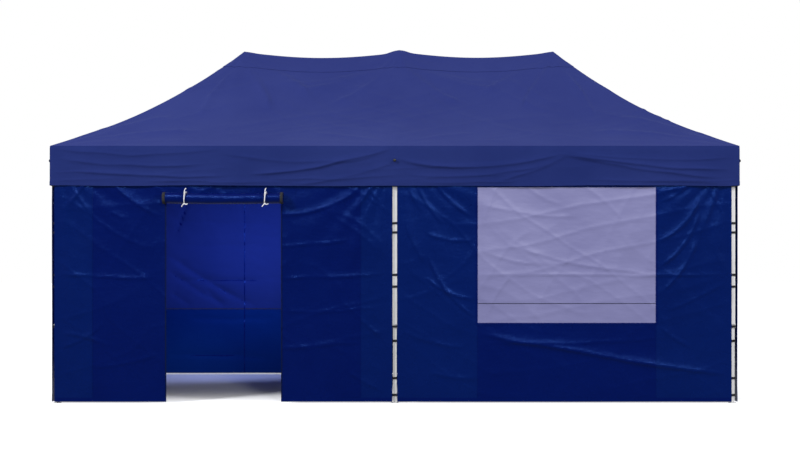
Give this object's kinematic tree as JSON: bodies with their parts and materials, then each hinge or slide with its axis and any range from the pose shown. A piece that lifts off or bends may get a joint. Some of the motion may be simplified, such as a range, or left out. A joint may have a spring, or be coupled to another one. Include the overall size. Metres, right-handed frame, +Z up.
{
  "type": "pop up canopy",
  "caption": "Folding canopy on telescoping legs with scissor trusses, a double-peaked fabric roof with valance, and hanging walls with a doorway and a clear window",
  "frame": {"origin": "on the ground under the middle of the canopy", "axes": "+X is the long side, +Z is up, the door and window face -Y"},
  "size_m": [5.94, 3.02, 3.2565],
  "materials": {
    "leg_steel": "white powder coat",
    "truss_bar": "white coated flat bar",
    "slider_nylon": "moulded black nylon",
    "cover_fabric": "woven polyester, matt, dark blue",
    "wall_fabric": "coated woven polyester, slight sheen, dark blue",
    "window_film": "clear soft PVC film"
  },
  "bodies": {
    "front_left_leg": {"front_left_upper_leg": "leg_steel"},
    "front_middle_leg": {"front_middle_upper_leg": "leg_steel", "front_left_wall": "wall_fabric", "front_right_wall": "wall_fabric", "window_pane": "window_film"},
    "front_right_leg": {"front_right_upper_leg": "leg_steel"},
    "rear_left_leg": {"rear_left_upper_leg": "leg_steel", "left_wall": "wall_fabric"},
    "rear_middle_leg": {"rear_middle_upper_leg": "leg_steel", "rear_wall": "wall_fabric"},
    "rear_right_leg": {"rear_right_upper_leg": "leg_steel", "right_wall": "wall_fabric"},
    "front_left_slider": {"front_left_slider": "slider_nylon"},
    "front_middle_slider": {"front_middle_slider": "slider_nylon"},
    "front_right_slider": {"front_right_slider": "slider_nylon"},
    "rear_left_slider": {"rear_left_slider": "slider_nylon"},
    "rear_middle_slider": {"rear_middle_slider": "slider_nylon"},
    "rear_right_slider": {"rear_right_slider": "slider_nylon"},
    "front_left_foot_tube": {"front_left_lower_leg": "leg_steel"},
    "front_middle_foot_tube": {"front_middle_lower_leg": "leg_steel"},
    "front_right_foot_tube": {"front_right_lower_leg": "leg_steel"},
    "rear_left_foot_tube": {"rear_left_lower_leg": "leg_steel"},
    "rear_middle_foot_tube": {"rear_middle_lower_leg": "leg_steel"},
    "rear_right_foot_tube": {"rear_right_lower_leg": "leg_steel"},
    "front_left_truss_bar_a": {"front_left_truss_bar_a": "truss_bar"},
    "front_left_truss_bar_b": {"front_left_truss_bar_b": "truss_bar"},
    "front_left_truss_bar_c": {"front_left_truss_bar_c": "truss_bar"},
    "front_left_truss_bar_d": {"front_left_truss_bar_d": "truss_bar"},
    "front_right_truss_bar_a": {"front_right_truss_bar_a": "truss_bar"},
    "front_right_truss_bar_b": {"front_right_truss_bar_b": "truss_bar"},
    "front_right_truss_bar_c": {"front_right_truss_bar_c": "truss_bar"},
    "front_right_truss_bar_d": {"front_right_truss_bar_d": "truss_bar"},
    "rear_left_truss_bar_a": {"rear_left_truss_bar_a": "truss_bar"},
    "rear_left_truss_bar_b": {"rear_left_truss_bar_b": "truss_bar"},
    "rear_left_truss_bar_c": {"rear_left_truss_bar_c": "truss_bar"},
    "rear_left_truss_bar_d": {"rear_left_truss_bar_d": "truss_bar"},
    "rear_right_truss_bar_a": {"rear_right_truss_bar_a": "truss_bar"},
    "rear_right_truss_bar_b": {"rear_right_truss_bar_b": "truss_bar"},
    "rear_right_truss_bar_c": {"rear_right_truss_bar_c": "truss_bar"},
    "rear_right_truss_bar_d": {"rear_right_truss_bar_d": "truss_bar"},
    "left_end_truss_bar_a": {"left_end_truss_bar_a": "truss_bar"},
    "left_end_truss_bar_b": {"left_end_truss_bar_b": "truss_bar"},
    "left_end_truss_bar_c": {"left_end_truss_bar_c": "truss_bar"},
    "left_end_truss_bar_d": {"left_end_truss_bar_d": "truss_bar"},
    "middle_truss_bar_a": {"middle_truss_bar_a": "truss_bar"},
    "middle_truss_bar_b": {"middle_truss_bar_b": "truss_bar"},
    "middle_truss_bar_c": {"middle_truss_bar_c": "truss_bar"},
    "middle_truss_bar_d": {"middle_truss_bar_d": "truss_bar"},
    "right_end_truss_bar_a": {"right_end_truss_bar_a": "truss_bar"},
    "right_end_truss_bar_b": {"right_end_truss_bar_b": "truss_bar"},
    "right_end_truss_bar_c": {"right_end_truss_bar_c": "truss_bar"},
    "right_end_truss_bar_d": {"right_end_truss_bar_d": "truss_bar"},
    "roof_front": {"roof_front": "cover_fabric"},
    "roof_rear": {"roof_rear": "cover_fabric"},
    "roof_left": {"roof_left": "cover_fabric"},
    "roof_right": {"roof_right": "cover_fabric"},
    "valance_front": {"valance_front": "cover_fabric"},
    "valance_rear": {"valance_rear": "cover_fabric"},
    "valance_left": {"valance_left": "cover_fabric"},
    "valance_right": {"valance_right": "cover_fabric"}
  },
  "joints": [
    {"name": "fold", "type": "slide", "parent": "rear_middle_leg", "child": "front_middle_leg", "axis": [0, 1, 0], "range_m": [0, 2.58], "deforming": ["rear_wall", "front_left_wall", "front_right_wall", "window_pane", "left_wall", "right_wall", "roof_front", "roof_rear", "roof_left", "roof_right", "valance_front", "valance_rear", "valance_left", "valance_right"]},
    {"name": "rear_left_leg_close", "type": "slide", "parent": "rear_middle_leg", "child": "rear_left_leg", "axis": [1, 0, 0], "range_m": [0, 2.5801]},
    {"name": "rear_right_leg_close", "type": "slide", "parent": "rear_middle_leg", "child": "rear_right_leg", "axis": [-1, 0, 0], "range_m": [0, 2.5801]},
    {"name": "front_left_leg_close", "type": "slide", "parent": "front_middle_leg", "child": "front_left_leg", "axis": [1, 0, 0], "range_m": [0, 2.5801]},
    {"name": "front_right_leg_close", "type": "slide", "parent": "front_middle_leg", "child": "front_right_leg", "axis": [-1, 0, 0], "range_m": [0, 2.5801]},
    {"name": "front_left_slider_slide", "type": "slide", "parent": "front_left_leg", "child": "front_left_slider", "axis": [0, 0, -1], "range_m": [0, 1.17886]},
    {"name": "front_middle_slider_slide", "type": "slide", "parent": "front_middle_leg", "child": "front_middle_slider", "axis": [0, 0, -1], "range_m": [0, 1.17886]},
    {"name": "front_right_slider_slide", "type": "slide", "parent": "front_right_leg", "child": "front_right_slider", "axis": [0, 0, -1], "range_m": [0, 1.17886]},
    {"name": "rear_left_slider_slide", "type": "slide", "parent": "rear_left_leg", "child": "rear_left_slider", "axis": [0, 0, -1], "range_m": [0, 1.17886]},
    {"name": "rear_middle_slider_slide", "type": "slide", "parent": "rear_middle_leg", "child": "rear_middle_slider", "axis": [0, 0, -1], "range_m": [0, 1.17886]},
    {"name": "rear_right_slider_slide", "type": "slide", "parent": "rear_right_leg", "child": "rear_right_slider", "axis": [0, 0, -1], "range_m": [0, 1.17886]},
    {"name": "front_left_height", "type": "slide", "parent": "front_left_leg", "child": "front_left_foot_tube", "axis": [0, 0, 1], "range_m": [0, 0.6]},
    {"name": "front_middle_height", "type": "slide", "parent": "front_middle_leg", "child": "front_middle_foot_tube", "axis": [0, 0, 1], "range_m": [0, 0.6]},
    {"name": "front_right_height", "type": "slide", "parent": "front_right_leg", "child": "front_right_foot_tube", "axis": [0, 0, 1], "range_m": [0, 0.6]},
    {"name": "rear_left_height", "type": "slide", "parent": "rear_left_leg", "child": "rear_left_foot_tube", "axis": [0, 0, 1], "range_m": [0, 0.6]},
    {"name": "rear_middle_height", "type": "slide", "parent": "rear_middle_leg", "child": "rear_middle_foot_tube", "axis": [0, 0, 1], "range_m": [0, 0.6]},
    {"name": "rear_right_height", "type": "slide", "parent": "rear_right_leg", "child": "rear_right_foot_tube", "axis": [0, 0, 1], "range_m": [0, 0.6]},
    {"name": "front_left_truss_bar_a_pivot", "type": "hinge", "parent": "front_left_leg", "child": "front_left_truss_bar_a", "pos_m": [-2.872, -1.46, 2.15], "axis": [0, 1, 0], "range_deg": [0, 75.09]},
    {"name": "front_left_truss_bar_b_pivot", "type": "hinge", "parent": "front_left_slider", "child": "front_left_truss_bar_b", "pos_m": [-2.872, -1.46, 1.9], "axis": [0, -1, 0], "range_deg": [0, 75.09]},
    {"name": "front_left_truss_bar_c_pivot", "type": "hinge", "parent": "front_middle_slider", "child": "front_left_truss_bar_c", "pos_m": [-0.048, -1.46, 1.9], "axis": [0, 1, 0], "range_deg": [0, 75.09]},
    {"name": "front_left_truss_bar_d_pivot", "type": "hinge", "parent": "front_middle_leg", "child": "front_left_truss_bar_d", "pos_m": [-0.048, -1.46, 2.15], "axis": [0, -1, 0], "range_deg": [0, 75.09]},
    {"name": "front_right_truss_bar_a_pivot", "type": "hinge", "parent": "front_middle_leg", "child": "front_right_truss_bar_a", "pos_m": [0.048, -1.46, 2.15], "axis": [0, 1, 0], "range_deg": [0, 75.09]},
    {"name": "front_right_truss_bar_b_pivot", "type": "hinge", "parent": "front_middle_slider", "child": "front_right_truss_bar_b", "pos_m": [0.048, -1.46, 1.9], "axis": [0, -1, 0], "range_deg": [0, 75.09]},
    {"name": "front_right_truss_bar_c_pivot", "type": "hinge", "parent": "front_right_slider", "child": "front_right_truss_bar_c", "pos_m": [2.872, -1.46, 1.9], "axis": [0, 1, 0], "range_deg": [0, 75.09]},
    {"name": "front_right_truss_bar_d_pivot", "type": "hinge", "parent": "front_right_leg", "child": "front_right_truss_bar_d", "pos_m": [2.872, -1.46, 2.15], "axis": [0, -1, 0], "range_deg": [0, 75.09]},
    {"name": "rear_left_truss_bar_a_pivot", "type": "hinge", "parent": "rear_left_leg", "child": "rear_left_truss_bar_a", "pos_m": [-2.872, 1.46, 2.15], "axis": [0, 1, 0], "range_deg": [0, 75.09]},
    {"name": "rear_left_truss_bar_b_pivot", "type": "hinge", "parent": "rear_left_slider", "child": "rear_left_truss_bar_b", "pos_m": [-2.872, 1.46, 1.9], "axis": [0, -1, 0], "range_deg": [0, 75.09]},
    {"name": "rear_left_truss_bar_c_pivot", "type": "hinge", "parent": "rear_middle_slider", "child": "rear_left_truss_bar_c", "pos_m": [-0.048, 1.46, 1.9], "axis": [0, 1, 0], "range_deg": [0, 75.09]},
    {"name": "rear_left_truss_bar_d_pivot", "type": "hinge", "parent": "rear_middle_leg", "child": "rear_left_truss_bar_d", "pos_m": [-0.048, 1.46, 2.15], "axis": [0, -1, 0], "range_deg": [0, 75.09]},
    {"name": "rear_right_truss_bar_a_pivot", "type": "hinge", "parent": "rear_middle_leg", "child": "rear_right_truss_bar_a", "pos_m": [0.048, 1.46, 2.15], "axis": [0, 1, 0], "range_deg": [0, 75.09]},
    {"name": "rear_right_truss_bar_b_pivot", "type": "hinge", "parent": "rear_middle_slider", "child": "rear_right_truss_bar_b", "pos_m": [0.048, 1.46, 1.9], "axis": [0, -1, 0], "range_deg": [0, 75.09]},
    {"name": "rear_right_truss_bar_c_pivot", "type": "hinge", "parent": "rear_right_slider", "child": "rear_right_truss_bar_c", "pos_m": [2.872, 1.46, 1.9], "axis": [0, 1, 0], "range_deg": [0, 75.09]},
    {"name": "rear_right_truss_bar_d_pivot", "type": "hinge", "parent": "rear_right_leg", "child": "rear_right_truss_bar_d", "pos_m": [2.872, 1.46, 2.15], "axis": [0, -1, 0], "range_deg": [0, 75.09]},
    {"name": "left_end_truss_bar_a_pivot", "type": "hinge", "parent": "front_left_leg", "child": "left_end_truss_bar_a", "pos_m": [-2.92, -1.412, 2.15], "axis": [-1, 0, 0], "range_deg": [0, 75.09]},
    {"name": "left_end_truss_bar_b_pivot", "type": "hinge", "parent": "front_left_slider", "child": "left_end_truss_bar_b", "pos_m": [-2.92, -1.412, 1.9], "axis": [1, 0, 0], "range_deg": [0, 75.09]},
    {"name": "left_end_truss_bar_c_pivot", "type": "hinge", "parent": "rear_left_slider", "child": "left_end_truss_bar_c", "pos_m": [-2.92, 1.412, 1.9], "axis": [-1, 0, 0], "range_deg": [0, 75.09]},
    {"name": "left_end_truss_bar_d_pivot", "type": "hinge", "parent": "rear_left_leg", "child": "left_end_truss_bar_d", "pos_m": [-2.92, 1.412, 2.15], "axis": [1, 0, 0], "range_deg": [0, 75.09]},
    {"name": "middle_truss_bar_a_pivot", "type": "hinge", "parent": "front_middle_leg", "child": "middle_truss_bar_a", "pos_m": [0, -1.412, 2.15], "axis": [-1, 0, 0], "range_deg": [0, 75.09]},
    {"name": "middle_truss_bar_b_pivot", "type": "hinge", "parent": "front_middle_slider", "child": "middle_truss_bar_b", "pos_m": [0, -1.412, 1.9], "axis": [1, 0, 0], "range_deg": [0, 75.09]},
    {"name": "middle_truss_bar_c_pivot", "type": "hinge", "parent": "rear_middle_slider", "child": "middle_truss_bar_c", "pos_m": [0, 1.412, 1.9], "axis": [-1, 0, 0], "range_deg": [0, 75.09]},
    {"name": "middle_truss_bar_d_pivot", "type": "hinge", "parent": "rear_middle_leg", "child": "middle_truss_bar_d", "pos_m": [0, 1.412, 2.15], "axis": [1, 0, 0], "range_deg": [0, 75.09]},
    {"name": "right_end_truss_bar_a_pivot", "type": "hinge", "parent": "front_right_leg", "child": "right_end_truss_bar_a", "pos_m": [2.92, -1.412, 2.15], "axis": [-1, 0, 0], "range_deg": [0, 75.09]},
    {"name": "right_end_truss_bar_b_pivot", "type": "hinge", "parent": "front_right_slider", "child": "right_end_truss_bar_b", "pos_m": [2.92, -1.412, 1.9], "axis": [1, 0, 0], "range_deg": [0, 75.09]},
    {"name": "right_end_truss_bar_c_pivot", "type": "hinge", "parent": "rear_right_slider", "child": "right_end_truss_bar_c", "pos_m": [2.92, 1.412, 1.9], "axis": [-1, 0, 0], "range_deg": [0, 75.09]},
    {"name": "right_end_truss_bar_d_pivot", "type": "hinge", "parent": "rear_right_leg", "child": "right_end_truss_bar_d", "pos_m": [2.92, 1.412, 2.15], "axis": [1, 0, 0], "range_deg": [0, 75.09]},
    {"name": "roof_front_droop", "type": "hinge", "parent": "rear_middle_leg", "child": "roof_front", "pos_m": [0, 0.645, 5.26562], "axis": [1, 0, 0], "range_deg": [0, 35.58]},
    {"name": "roof_rear_droop", "type": "hinge", "parent": "rear_middle_leg", "child": "roof_rear", "pos_m": [0, 0.645, 1.24438], "axis": [-1, 0, 0], "range_deg": [0, 35.58]},
    {"name": "roof_left_droop", "type": "hinge", "parent": "rear_middle_leg", "child": "roof_left", "pos_m": [-0.9375, 0, 4.89042], "axis": [0, -1, 0], "range_deg": [0, 37.97]},
    {"name": "roof_right_droop", "type": "hinge", "parent": "rear_middle_leg", "child": "roof_right", "pos_m": [0.9375, 0, 4.89042], "axis": [0, 1, 0], "range_deg": [0, 37.97]},
    {"name": "valance_front_droop", "type": "slide", "parent": "rear_middle_leg", "child": "valance_front", "axis": [0, 0.9537, -0.3006], "range_m": [0, 2.27942]},
    {"name": "valance_rear_droop", "type": "slide", "parent": "rear_middle_leg", "child": "valance_rear", "axis": [0, 0.5098, -0.8603], "range_m": [0, 0.79667]},
    {"name": "valance_left_droop", "type": "slide", "parent": "rear_middle_leg", "child": "valance_left", "axis": [0.9495, 0, -0.3139], "range_m": [0, 2.18311]},
    {"name": "valance_right_droop", "type": "slide", "parent": "rear_middle_leg", "child": "valance_right", "axis": [-0.9495, 0, -0.3139], "range_m": [0, 2.18311]}
  ],
  "couplings": [
    {"joint": "rear_left_leg_close", "follows": "fold", "ratio": 1},
    {"joint": "rear_right_leg_close", "follows": "fold", "ratio": 1},
    {"joint": "front_left_leg_close", "follows": "fold", "ratio": 1},
    {"joint": "front_right_leg_close", "follows": "fold", "ratio": 1},
    {"joint": "front_left_slider_slide", "follows": "fold", "ratio": 0.45688},
    {"joint": "front_middle_slider_slide", "follows": "fold", "ratio": 0.45688},
    {"joint": "front_right_slider_slide", "follows": "fold", "ratio": 0.45688},
    {"joint": "rear_left_slider_slide", "follows": "fold", "ratio": 0.45688},
    {"joint": "rear_middle_slider_slide", "follows": "fold", "ratio": 0.45688},
    {"joint": "rear_right_slider_slide", "follows": "fold", "ratio": 0.45688},
    {"joint": "front_left_truss_bar_a_pivot", "follows": "fold", "rad_per_m": 0.5079},
    {"joint": "front_left_truss_bar_b_pivot", "follows": "fold", "rad_per_m": 0.5079},
    {"joint": "front_left_truss_bar_c_pivot", "follows": "fold", "rad_per_m": 0.5079},
    {"joint": "front_left_truss_bar_d_pivot", "follows": "fold", "rad_per_m": 0.5079},
    {"joint": "front_right_truss_bar_a_pivot", "follows": "fold", "rad_per_m": 0.5079},
    {"joint": "front_right_truss_bar_b_pivot", "follows": "fold", "rad_per_m": 0.5079},
    {"joint": "front_right_truss_bar_c_pivot", "follows": "fold", "rad_per_m": 0.5079},
    {"joint": "front_right_truss_bar_d_pivot", "follows": "fold", "rad_per_m": 0.5079},
    {"joint": "rear_left_truss_bar_a_pivot", "follows": "fold", "rad_per_m": 0.5079},
    {"joint": "rear_left_truss_bar_b_pivot", "follows": "fold", "rad_per_m": 0.5079},
    {"joint": "rear_left_truss_bar_c_pivot", "follows": "fold", "rad_per_m": 0.5079},
    {"joint": "rear_left_truss_bar_d_pivot", "follows": "fold", "rad_per_m": 0.5079},
    {"joint": "rear_right_truss_bar_a_pivot", "follows": "fold", "rad_per_m": 0.5079},
    {"joint": "rear_right_truss_bar_b_pivot", "follows": "fold", "rad_per_m": 0.5079},
    {"joint": "rear_right_truss_bar_c_pivot", "follows": "fold", "rad_per_m": 0.5079},
    {"joint": "rear_right_truss_bar_d_pivot", "follows": "fold", "rad_per_m": 0.5079},
    {"joint": "left_end_truss_bar_a_pivot", "follows": "fold", "rad_per_m": 0.5079},
    {"joint": "left_end_truss_bar_b_pivot", "follows": "fold", "rad_per_m": 0.5079},
    {"joint": "left_end_truss_bar_c_pivot", "follows": "fold", "rad_per_m": 0.5079},
    {"joint": "left_end_truss_bar_d_pivot", "follows": "fold", "rad_per_m": 0.5079},
    {"joint": "middle_truss_bar_a_pivot", "follows": "fold", "rad_per_m": 0.5079},
    {"joint": "middle_truss_bar_b_pivot", "follows": "fold", "rad_per_m": 0.5079},
    {"joint": "middle_truss_bar_c_pivot", "follows": "fold", "rad_per_m": 0.5079},
    {"joint": "middle_truss_bar_d_pivot", "follows": "fold", "rad_per_m": 0.5079},
    {"joint": "right_end_truss_bar_a_pivot", "follows": "fold", "rad_per_m": 0.5079},
    {"joint": "right_end_truss_bar_b_pivot", "follows": "fold", "rad_per_m": 0.5079},
    {"joint": "right_end_truss_bar_c_pivot", "follows": "fold", "rad_per_m": 0.5079},
    {"joint": "right_end_truss_bar_d_pivot", "follows": "fold", "rad_per_m": 0.5079},
    {"joint": "roof_front_droop", "follows": "fold", "rad_per_m": 0.24064},
    {"joint": "roof_rear_droop", "follows": "fold", "rad_per_m": 0.24064},
    {"joint": "roof_left_droop", "follows": "fold", "rad_per_m": 0.2568},
    {"joint": "roof_right_droop", "follows": "fold", "rad_per_m": 0.2568},
    {"joint": "valance_front_droop", "follows": "fold", "ratio": 0.88346},
    {"joint": "valance_rear_droop", "follows": "fold", "ratio": 0.30875},
    {"joint": "valance_left_droop", "follows": "fold", "ratio": 0.84613},
    {"joint": "valance_right_droop", "follows": "fold", "ratio": 0.84613}
  ]
}
